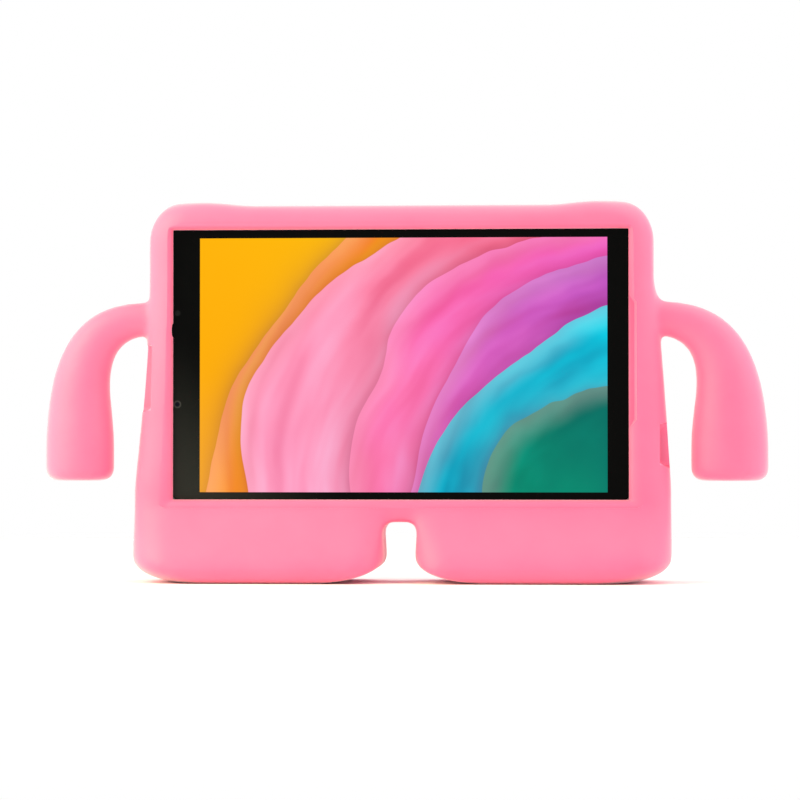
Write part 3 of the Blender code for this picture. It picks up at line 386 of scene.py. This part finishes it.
# The foam body's sizes, in metres, then the shares and powers that shape it
body = {
    "height": 0.1591, "slabHalf": 0.0120, "footHalf": 0.0265, "shoulderHalf": 0.1066, "shoulderZ": 0.1250,
    "leftHip": 0.1128, "rightHip": 0.1137, "hipZ": 0.0400, "ankle": 0.0347, "footTop": 0.0050,
    "topCorner": 0.0150, "edgeRound": 0.0090, "footCornerX": 0.0170, "footInner": 0.0140,
    "toeX": 0.0240, "toeZ": 0.0106, "soleRound": 0.0060,
    "rise": 0.0015, "riseInset": 0.0246, "riseLength": 0.0200, "wallAbove": 0.0058,
    "leftWiden": 1.52, "rightWiden": 0.72, "crowding": 0.75, "straight": 60, "ends": 14,
}
notch = {
    "halfTop": 0.0072, "halfLow": 0.00645, "height": 0.0254, "corner": 0.0040,
    "flareX": 0.0320, "flareZ": 0.0106, "through": 0.05,
}
pocket = {"halfX": 0.1003, "low": 0.0317, "high": 0.1533, "front": -0.0080, "back": 0.0008, "corner": 0.0103}
lip = {
    "halfX": 0.0958, "halfZ": 0.0568, "middle": 0.0916, "corner": 0.0005,
    "bevelX": 0.0064, "bevelY": 0.0034, "power": 2.0, "upward": 0.55, "outside": -0.04, "past": 0.002,
}
skinning = {"voxel": 0.0012, "quickVoxel": 0.0016, "soften": 0.5, "rounds": 12, "sharpAngle": 38}


def ease(value):
    value = min(max(value, 0.0), 1.0)
    return value * value * (3 - 2 * value)


def rounding(distance, length, depth):
    share = min(max(1 - distance / length, 0.0), 1.0)
    return depth * (1 - math.sqrt(1 - share * share))


def steps(count):
    return [i / count for i in range(count + 1)]


def halfWidthAt(z, side):
    share = min(max((body["shoulderZ"] - z) / (body["shoulderZ"] - body["hipZ"]), 0.0), 1.0)
    spread = body[side + "Hip"] - body["shoulderHalf"]
    width = body["shoulderHalf"] + spread * share ** body[side + "Widen"]
    width -= rounding(body["height"] - z, body["topCorner"], body["topCorner"])
    return width - rounding(z, body["toeZ"], body["toeX"])


def halfDepthAt(z):
    share = ease((body["ankle"] - z) / (body["ankle"] - body["footTop"]))
    depth = body["slabHalf"] + (body["footHalf"] - body["slabHalf"]) * share
    depth -= rounding(body["height"] - z, body["edgeRound"], body["edgeRound"])
    return depth - rounding(z, body["soleRound"], body["soleRound"])


def riseAt(x, z):
    nearCorner = ease((abs(x) - body["shoulderHalf"] + body["riseInset"]) / body["riseLength"] + 1)
    nearTop = ease((z - pocket["high"] + body["wallAbove"]) / (2 * body["wallAbove"]))
    return body["rise"] * nearCorner * nearTop


# One level ring of the body: straight front and back, and ends wider than they are deep
def bodyRing(z):
    halfX, halfY = halfWidthAt(z, "left"), halfDepthAt(z)
    rightShare = halfWidthAt(z, "right") / halfX
    footDepth = max(halfY - body["slabHalf"], 0.0)
    swell = footDepth / (body["footHalf"] - body["slabHalf"])
    endX = body["topCorner"] + (body["footCornerX"] - body["topCorner"]) * swell
    endY = halfY * body["edgeRound"] / body["slabHalf"]
    flatX, flatY = halfX - endX, halfY - endY
    half = []
    for share in steps(body["straight"])[:-1]:
        side = 1 - 2 * share
        # Points crowd near the notch
        x = flatX * (body["crowding"] * side ** 3 + (1 - body["crowding"]) * side)
        fromNotch = max(abs(x) - notch["halfLow"], 0.0)
        half.append((x, halfY - rounding(fromNotch, body["footInner"], footDepth)))
    turn = [math.pi / 2 * share for share in steps(body["ends"])]
    half += [(-flatX - endX * math.sin(a), flatY + endY * math.cos(a)) for a in turn]
    half += [(-flatX - endX * math.sin(a), -flatY - endY * math.cos(a)) for a in turn[:0:-1]]
    ring = half + [(-x, -y) for x, y in half]
    return [(x * rightShare if x > 0 else x, y, z + riseAt(x, z)) for x, y in ring]


def bodyLevels():
    straightTop = body["height"] - body["topCorner"]
    low = [body["toeZ"] * (1 - math.cos(math.pi / 2 * s)) for s in steps(18)[:-1]]
    flare = [body["toeZ"] + (body["ankle"] - body["toeZ"]) * s for s in steps(16)[:-1]]
    side = [body["ankle"] + (straightTop - body["ankle"]) * s for s in steps(24)[:-1]]
    top = [straightTop + body["topCorner"] * math.sin(math.pi / 2 * s) for s in steps(16)]
    return low + flare + side + top


# Skins a row of rings. Each end is closed with a strip of quads from one side of the ring to the other.
def loft(name, rings, foldAt=None):
    shape = bmesh.new()
    loops = [[shape.verts.new(point) for point in ring] for ring in rings]
    count = len(rings[0])
    for low, high in zip(loops, loops[1:]):
        for i in range(count):
            j = (i + 1) % count
            shape.faces.new((low[i], low[j], high[j], high[i]))
    for loop in (loops[0], loops[-1]):
        if foldAt is None:
            shape.faces.new(loop)
            continue
        for i in range(count // 2 - 1):
            a, b = (foldAt - i) % count, (foldAt - i - 1) % count
            c, d = (foldAt + i + 2) % count, (foldAt + i + 1) % count
            shape.faces.new((loop[a], loop[b], loop[c], loop[d]))
    bmesh.ops.recalc_face_normals(shape, faces=shape.faces)
    mesh = bpy.data.meshes.new(name)
    shape.to_mesh(mesh)
    shape.free()
    return addThing(name, mesh)


def addThing(name, mesh):
    thing = bpy.data.objects.new(name, mesh)
    bpy.context.scene.collection.objects.link(thing)
    return thing


def bake(thing):
    graph = bpy.context.evaluated_depsgraph_get()
    mesh = bpy.data.meshes.new_from_object(thing.evaluated_get(graph))
    thing.modifiers.clear()
    old = thing.data
    thing.data = mesh
    bpy.data.meshes.remove(old)


def cutAway(thing, tool):
    modifier = thing.modifiers.new("cut", "BOOLEAN")
    modifier.operation = "DIFFERENCE"
    modifier.object = tool
    modifier.solver = "MANIFOLD"
    bake(thing)
    bpy.data.objects.remove(tool, do_unlink=True)


def roundedOutline(halfX, halfZ, radius, middleZ=0.0, sides=12):
    points = []
    for signX, signZ, start in ((1, 1, 0), (-1, 1, 90), (-1, -1, 180), (1, -1, 270)):
        for share in steps(sides):
            angle = math.radians(start + 90 * share)
            x = signX * (halfX - radius) + radius * math.cos(angle)
            z = middleZ + signZ * (halfZ - radius) + radius * math.sin(angle)
            points.append((x, z))
    return points


# The arms: a node tree sweeps an oval along a bent path, level at the body and then straight down.
arms = {
    "startX": 0.0985, "centreX": 0.1040, "innerX": 0.1221, "rootZ": 0.1113, "rise": 0.0410, "power": 2.5,
    "bendShare": 0.72, "handDrop": 0.0276, "rootHalf": 0.0072, "handHalf": 0.0153, "swellShare": 0.85,
    "shoulder": 0.0006, "shoulderLean": 0.7, "bodySurface": 0.0088, "buriedShare": 0.06, "endRound": 0.0048,
    "depthShare": 0.86, "side": 1.0,
}
armPoints = {"along": 150, "around": 56}
hands = ({"side": -1.0, "handHalf": 0.0145}, {"side": 1.0, "handHalf": 0.0162})


def armTree():
    tree = bpy.data.node_groups.new("bentArm", "GeometryNodeTree")
    tree.interface.new_socket("Geometry", in_out="INPUT", socket_type="NodeSocketGeometry")
    places = {}
    for name, value in arms.items():
        socket = tree.interface.new_socket(name, in_out="INPUT", socket_type="NodeSocketFloat")
        socket.default_value = value
        places[name] = socket.identifier
    tree.interface.new_socket("Geometry", in_out="OUTPUT", socket_type="NodeSocketGeometry")
    sketch = Sketch(tree)
    given = tree.nodes.new("NodeGroupInput")
    size = {name: Flow(tree, given.outputs[name]) for name in arms}
    count = armPoints["along"]
    line = sketch.out("GeometryNodeCurvePrimitiveLine")
    line = sketch.out("GeometryNodeResampleCurve", None, {"Curve": line, "Count": count})
    buried = size["buriedShare"]
    share = sketch.out("GeometryNodeInputIndex") / (count - 1.0) * (1.0 + buried) - buried
    bend = sketch.clamp(share / size["bendShare"])
    angle = bend * (math.pi / 2)
    power = 2.0 / size["power"]
    drop = sketch.clamp((share - size["bendShare"]) / (1.0 - size["bendShare"]))
    inward = sketch.clamp(-1.0 * share / buried)
    reach = size["innerX"] + size["handHalf"] - size["centreX"]
    shoulder = size["shoulder"] * sketch.maths("SINE", 2.0 * angle) ** 2.0
    lean = size["shoulderLean"] * shoulder
    x = size["centreX"] + reach * sketch.maths("SINE", angle) ** power
    x = size["side"] * (x - inward * (size["centreX"] - size["startX"]) + lean)
    z = size["rootZ"] - size["rise"] + size["rise"] * sketch.clamp(sketch.maths("COSINE", angle)) ** power
    z = z - size["handDrop"] * drop + lean
    path = sketch.out("ShaderNodeCombineXYZ", None, {"X": x, "Z": z})
    line = sketch.out("GeometryNodeSetPosition", None, {"Geometry": line, "Position": path})
    facing = {"Curve": line, "Normal": (0.0, 1.0, 0.0)}
    line = sketch.out("GeometryNodeSetCurveNormal", {"mode": "FREE"}, facing)
    travelled = sketch.out("GeometryNodeSplineParameter", name="Length")
    whole = sketch.out("GeometryNodeSplineLength", name="Length")
    toEnd = whole - travelled
    fromBody = travelled - size["bodySurface"]
    swell = sketch.ease(fromBody / (whole - size["bodySurface"]) / size["swellShare"])
    half = size["rootHalf"] + (size["handHalf"] - size["rootHalf"]) * swell + shoulder
    near = sketch.clamp(1.0 - toEnd / size["endRound"])
    half = half - size["endRound"] * (1.0 - sketch.maths("SQRT", 1.0 - near * near))
    line = sketch.out("GeometryNodeSetCurveRadius", None, {"Curve": line, "Radius": half})
    ring = {"Resolution": armPoints["around"], "Radius": 1.0}
    oval = sketch.out("GeometryNodeCurvePrimitiveCircle", None, ring)
    squeeze = sketch.out("ShaderNodeCombineXYZ", None, {"X": size["depthShare"], "Y": 1.0, "Z": 1.0})
    oval = sketch.out("GeometryNodeTransform", None, {"Geometry": oval, "Scale": squeeze})
    sweep = {"Curve": line, "Profile Curve": oval, "Fill Caps": True}
    arm = sketch.node("GeometryNodeCurveToMesh", None, sweep)
    if "Scale" in arm.inputs:
        tree.links.new(half.socket, arm.inputs["Scale"])
    solid = sketch.out("GeometryNodeRealizeInstances", None, {"Geometry": Flow(tree, arm.outputs[0])})
    dressed = sketch.out("GeometryNodeSetMaterial", None, {"Geometry": solid, "Material": foamMaterial})
    result = tree.nodes.new("NodeGroupOutput")
    tree.links.new(dressed.socket, result.inputs[0])
    return tree, places


def makeArm(tree, places, own):
    thing = addThing("arm", bpy.data.meshes.new("arm"))
    modifier = thing.modifiers.new("arm", "NODES")
    modifier.node_group = tree
    for name, value in {**arms, **own}.items():
        modifier[places[name]] = value
    bake(thing)
    print("arm swept", len(thing.data.polygons))
    return thing


# A small saddle that leads from the body's right side into the arm's upper face
saddle = {
    "x": 0.1070, "width": 0.0046, "height": 0.0080, "buried": 0.0040, "sunk": 0.0003, "depthShare": 0.94,
    "turnShare": 0.9,
}


def makeSaddle():
    rings = []
    deep = -saddle["buried"]
    for share in steps(12):
        angle = saddle["turnShare"] * math.pi * (share - 0.5)
        width, height = saddle["width"] * math.cos(angle), saddle["height"] * math.cos(angle)
        across = saddle["depthShare"] * math.sin(angle)
        low = arms["rootZ"] + arms["rootHalf"] * math.sqrt(1 - across * across) - saddle["sunk"]
        turn = [math.pi / 2 * step for step in steps(8)]
        outline = [(deep, deep), (deep, height)]
        outline += [(width * (1 - math.cos(a)), height * (1 - math.sin(a))) for a in turn]
        outline.append((width, deep))
        y = arms["rootHalf"] * arms["depthShare"] * across
        rings.append([(saddle["x"] + u, y, low + v) for u, v in outline])
    return loft("saddle", rings)


def notchTool():
    half = [(notch["halfLow"] + notch["flareX"], -notch["flareZ"])]
    turn = [math.pi / 2 * s for s in steps(12)]
    for angle in turn:
        z = notch["flareZ"] * (1 - math.cos(angle))
        half.append((notch["halfLow"] + rounding(z, notch["flareZ"], notch["flareX"]), z))
    for angle in turn:
        x = notch["halfTop"] - notch["corner"] + notch["corner"] * math.cos(angle)
        half.append((x, notch["height"] - notch["corner"] + notch["corner"] * math.sin(angle)))
    outline = half + [(-x, z) for x, z in reversed(half)]
    ends = (-notch["through"], notch["through"])
    return loft("notchTool", [[(x, y, z) for x, z in outline] for y in ends])


# The foam before its openings are cut: body and arms joined and softened as one skin
def makeBlank():
    rings = [bodyRing(z) for z in bodyLevels()]
    blank = loft("foamCase", rings, foldAt=body["straight"] + body["ends"])
    cutAway(blank, notchTool())
    tree, places = armTree()
    shape = bmesh.new()
    shape.from_mesh(blank.data)
    for part in [makeArm(tree, places, own) for own in hands] + [makeSaddle()]:
        shape.from_mesh(part.data)
        bpy.data.objects.remove(part, do_unlink=True)
    shape.to_mesh(blank.data)
    shape.free()
    skin = blank.modifiers.new("skin", "REMESH")
    skin.mode = "VOXEL"
    skin.voxel_size = skinning["voxel"]
    soften = blank.modifiers.new("soften", "SMOOTH")
    soften.factor = skinning["soften"]
    soften.iterations = skinning["rounds"]
    bake(blank)
    print("foam skinned", len(blank.data.polygons))
    return blank


# How far the lip's soft edge has opened at a depth below the front face
def lipGrow(inset):
    share = 1 - inset / lip["bevelY"]
    return lip["bevelX"] * (1 - (1 - share ** lip["power"]) ** (1 / lip["power"]))


def lipRows():
    insets = [lip["bevelY"] * math.sin(math.pi / 2 * share) for share in steps(10)]
    return [(-body["slabHalf"] + inset, lipGrow(inset)) for inset in insets]


def windowTool():
    rows = [(lip["outside"], lip["bevelX"])] + lipRows() + [(pocket["front"] + lip["past"], 0.0)]
    rings = []
    for y, grow in rows:
        up = lip["upward"] * grow
        outline = roundedOutline(lip["halfX"] + grow, lip["halfZ"] + up, lip["corner"] + up, lip["middle"])
        rings.append([(x, y, z) for x, z in outline])
    return loft("windowTool", rings)


def pocketTool():
    middle = (pocket["low"] + pocket["high"]) / 2
    outline = roundedOutline(pocket["halfX"], (pocket["high"] - pocket["low"]) / 2, pocket["corner"], middle)
    return loft("pocketTool", [[(x, y, z) for x, z in outline] for y in (pocket["front"], pocket["back"])])


# Side slots, each with a shallow bed round it that reaches nearer to the front
slots = {
    "left": {"side": -1, "z": 0.0861, "length": 0.0272, "bed": 0.1050, "lean": 0.012},
    "right": {"side": 1, "z": 0.0580, "length": 0.0170, "bed": 0.1087, "lean": 0.0},
}
slotDepth = {
    "half": 0.00395, "corner": 0.0036, "inner": 0.0960, "outer": 0.1145,
    "bedFront": -0.0098, "bedCorner": 0.0022, "bedStep": 0.0012, "stepGrow": 0.0002, "outerGrow": 0.0022,
}
slotMiddle = (pocket["front"] + pocket["back"]) / 2


def slotTool(slot):
    outline = roundedOutline(slotDepth["half"], slot["length"] / 2, slotDepth["corner"], slot["z"])
    places = [slot["side"] * slotDepth[end] for end in ("inner", "outer")]
    return loft("slotTool", [[(x, slotMiddle + y, h) for y, h in outline] for x in places])


def bedTool(slot):
    back = slotMiddle + slotDepth["half"]
    half = (back - slotDepth["bedFront"]) / 2
    rows = (
        (slot["bed"], 0.0),
        (slot["bed"] + slotDepth["bedStep"], slotDepth["stepGrow"]),
        (slotDepth["outer"], slotDepth["outerGrow"]),
    )
    rings = []
    for x, grow in rows:
        outline = roundedOutline(half, slot["length"] / 2 + grow, slotDepth["bedCorner"], slot["z"])
        leant = [(x - slot["lean"] * (h - slot["z"]), y, h) for y, h in outline]
        rings.append([(slot["side"] * u, back - half + y, h) for u, y, h in leant])
    return loft("bedTool", rings)


# A long shallow step in the right lip, with slanted ends and a narrow chamfer
recess = {
    "z": 0.0929, "half": 0.0282, "width": 0.0023, "depth": 0.0027, "slant": 0.0040, "inner": 0.0925,
    "chamfer": 0.0009, "chamferDepth": 0.0014, "endShare": 0.6, "slantShare": 0.2, "outside": -0.02,
}


def recessTool():
    floor = recess["depth"] - body["slabHalf"]
    wide = recess["chamfer"]
    rings = []
    for y, grow in ((recess["outside"], wide), (floor - recess["chamferDepth"], wide), (floor, 0.0)):
        outer = lip["halfX"] + recess["width"] + grow
        high = recess["half"] + recess["endShare"] * grow
        flat = high - recess["slant"] - recess["slantShare"] * grow
        corners = [(recess["inner"], -high), (lip["halfX"], -high), (outer, -flat)]
        corners += [(x, -h) for x, h in reversed(corners)]
        rings.append([(x, y, recess["z"] + h) for x, h in corners])
    return loft("recessTool", rings)


# A small bite in the left lip, right through to the glass
bite = {"z": 0.1061, "half": 0.0029, "width": 0.0006, "past": 0.0006, "outside": -0.02}


def circle(count):
    return [2 * math.pi * share for share in steps(count)[:-1]]


def biteTool():
    outline = []
    for a in circle(24):
        outline.append((bite["width"] * math.cos(a) - lip["halfX"], bite["half"] * math.sin(a) + bite["z"]))
    ends = (bite["outside"], pocket["front"] + bite["past"])
    return loft("biteTool", [[(x, y, h) for x, h in outline] for y in ends])


# The rear camera's hole, with a rounded mouth
cameraHole = {"x": -0.0870, "z": 0.1410, "radius": 0.0085, "mouth": 0.0030, "inner": -0.0008, "outside": 0.02}


def cameraTool():
    x, z, mouth = cameraHole["x"], cameraHole["z"], cameraHole["mouth"]
    rows = [(cameraHole["outside"], mouth)]
    for share in steps(8):
        inset = mouth * math.sin(math.pi / 2 * share)
        rows.append((body["slabHalf"] - inset, rounding(inset, mouth, mouth)))
    rows.append((cameraHole["inner"], 0.0))
    rings = []
    for y, grow in rows:
        radius = cameraHole["radius"] + grow
        rings.append([(x + radius * math.cos(a), y, z + radius * math.sin(a)) for a in circle(48)])
    return loft("cameraTool", rings)


# Room in the foam over the power key and the volume key
keyRoom = {"z": 0.1521, "halfZ": 0.0021, "corner": 0.0004, "gap": 0.0006, "front": -0.0047, "back": -0.0013}
keys = ({"x": -0.0560, "length": 0.0100}, {"x": -0.0340, "length": 0.0210})


def keyRoomTool(key):
    half = key["length"] / 2 + keyRoom["gap"]
    outline = roundedOutline(half, keyRoom["halfZ"], keyRoom["corner"], keyRoom["z"])
    ends = (keyRoom["front"], keyRoom["back"])
    return loft("keyRoomTool", [[(key["x"] + u, y, z) for u, z in outline] for y in ends])


def makeFoamCase():
    case = makeBlank()
    cutAway(case, pocketTool())
    cutAway(case, windowTool())
    for slot in slots.values():
        cutAway(case, slotTool(slot))
        cutAway(case, bedTool(slot))
    cutAway(case, recessTool())
    cutAway(case, biteTool())
    cutAway(case, cameraTool())
    for key in keys:
        cutAway(case, keyRoomTool(key))
    dress(case, foamMaterial)
    case.data.shade_smooth()
    case.data.set_sharp_from_angle(angle=math.radians(skinning["sharpAngle"]))
    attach(case, "case")
    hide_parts("foam_case")
    print("foam case", len(case.data.polygons), "faces")


# Plain floor that fades out away from the object
floorLook = {
    "pale": (0.97, 0.97, 0.97), "cloud": (0.9, 0.9, 0.9), "cloudScale": 3.0, "cloudShare": 0.02, "rough": 0.9,
    "half": 8.0, "solid": 0.32, "fade": 0.45,
}
# Surround: paler at the sides than in front, and plain white where it is seen
surround = {"strength": 0.90, "frontDim": 0.92, "frontPower": 1.5, "sideGain": 0.74}
aimAt = (0.0, 0.0, 0.08)
lamps = {
    "leftSoft": {"from": (-0.42, -0.24, 0.32), "size": 0.50, "power": 3.4, "colour": (1.0, 1.0, 0.56)},
    "rightSoft": {"from": (0.55, -0.24, 0.24), "size": 0.34, "power": 0.7, "colour": (1.0, 1.0, 0.76)},
    "topSoft": {"from": (0.30, -0.04, 0.56), "size": 0.50, "power": 1.5, "colour": (1.0, 1.0, 0.74)},
}


def makeFloor():
    material, sketch, shader, place, (x, y, _) = startMaterial(
        "paleFloor", Roughness=floorLook["rough"], Specular_IOR_Level=0.0,
    )
    cloud = floorLook["cloudShare"] * sketch.noise(place, floorLook["cloudScale"])
    colour = sketch.mixColour(cloud, floorLook["pale"], floorLook["cloud"])
    fade = 1.0 - sketch.ease((sketch.distance(x, y) - floorLook["solid"]) / floorLook["fade"])
    feed(sketch, shader, Base_Color=colour, Alpha=fade)
    half = floorLook["half"]
    mesh = bpy.data.meshes.new("floor")
    corners = [(-half, -half, 0), (half, -half, 0), (half, half, 0), (-half, half, 0)]
    mesh.from_pydata(corners, [], [(0, 1, 2, 3)])
    floor = addThing("floor", mesh)
    dress(floor, material)


def makeSurround():
    world = bpy.data.worlds.new("surround")
    bpy.context.scene.world = world
    world.use_nodes = True
    tree = world.node_tree
    sketch = Sketch(tree)
    light = sketch.node("ShaderNodeLightPath")
    rays = ("Is Camera Ray", "Is Glossy Ray", "Is Transmission Ray")
    camera, glossy, through = (Flow(tree, light.outputs[name]) for name in rays)
    seen = sketch.clamp(camera + glossy + through)
    direction = sketch.out("ShaderNodeTexCoord", name="Generated")
    toward = sketch.node("ShaderNodeSeparateXYZ", None, {0: direction})
    sideways, forward = Flow(tree, toward.outputs[0]), Flow(tree, toward.outputs[1])
    given = 1.0 - surround["frontDim"] * sketch.clamp(-forward) ** surround["frontPower"]
    given = surround["strength"] * (given + surround["sideGain"] * sideways * sideways)
    strength = given + (1.0 - given) * seen
    background = tree.nodes["Background"]
    background.inputs["Color"].default_value = (1.0, 1.0, 1.0, 1.0)
    tree.links.new(strength.socket, background.inputs["Strength"])


def makeStage():
    makeFloor()
    makeSurround()
    for name, spec in lamps.items():
        makeLamp(name, spec)
    print("stage set")


def makeLamp(name, spec):
    data = bpy.data.lights.new(name, "AREA")
    data.shape = "SQUARE"
    data.size = spec["size"]
    data.energy = spec["power"]
    data.color = spec["colour"]
    lamp = bpy.data.objects.new(name, data)
    lamp.location = spec["from"]
    facing = Vector(aimAt) - Vector(spec["from"])
    lamp.rotation_euler = facing.to_track_quat("-Z", "Y").to_euler()
    bpy.context.scene.collection.objects.link(lamp)


view = {
    "azimuth": 3.0, "elevation": -1.2, "distance": 1.15, "lens": 122.4, "sensor": 36.0,
    "aim": (-0.0004, 0.0, 0.0768),
}


def makeCamera():
    data = bpy.data.cameras.new("camera")
    data.lens = view["lens"]
    data.sensor_width = view["sensor"]
    camera = bpy.data.objects.new("camera", data)
    a, e = math.radians(view["azimuth"]), math.radians(view["elevation"])
    back = Vector((math.sin(a) * math.cos(e), -math.cos(a) * math.cos(e), math.sin(e)))
    camera.location = Vector(view["aim"]) + back * view["distance"]
    camera.rotation_euler = (-back).to_track_quat("-Z", "Y").to_euler()
    bpy.context.scene.collection.objects.link(camera)
    bpy.context.scene.camera = camera


makeCamera()
makeStage()
foamMaterial = makeFoamMaterial()
makeFoamCase()
dressTablet()
bpy.context.scene.view_settings.view_transform = "Standard"
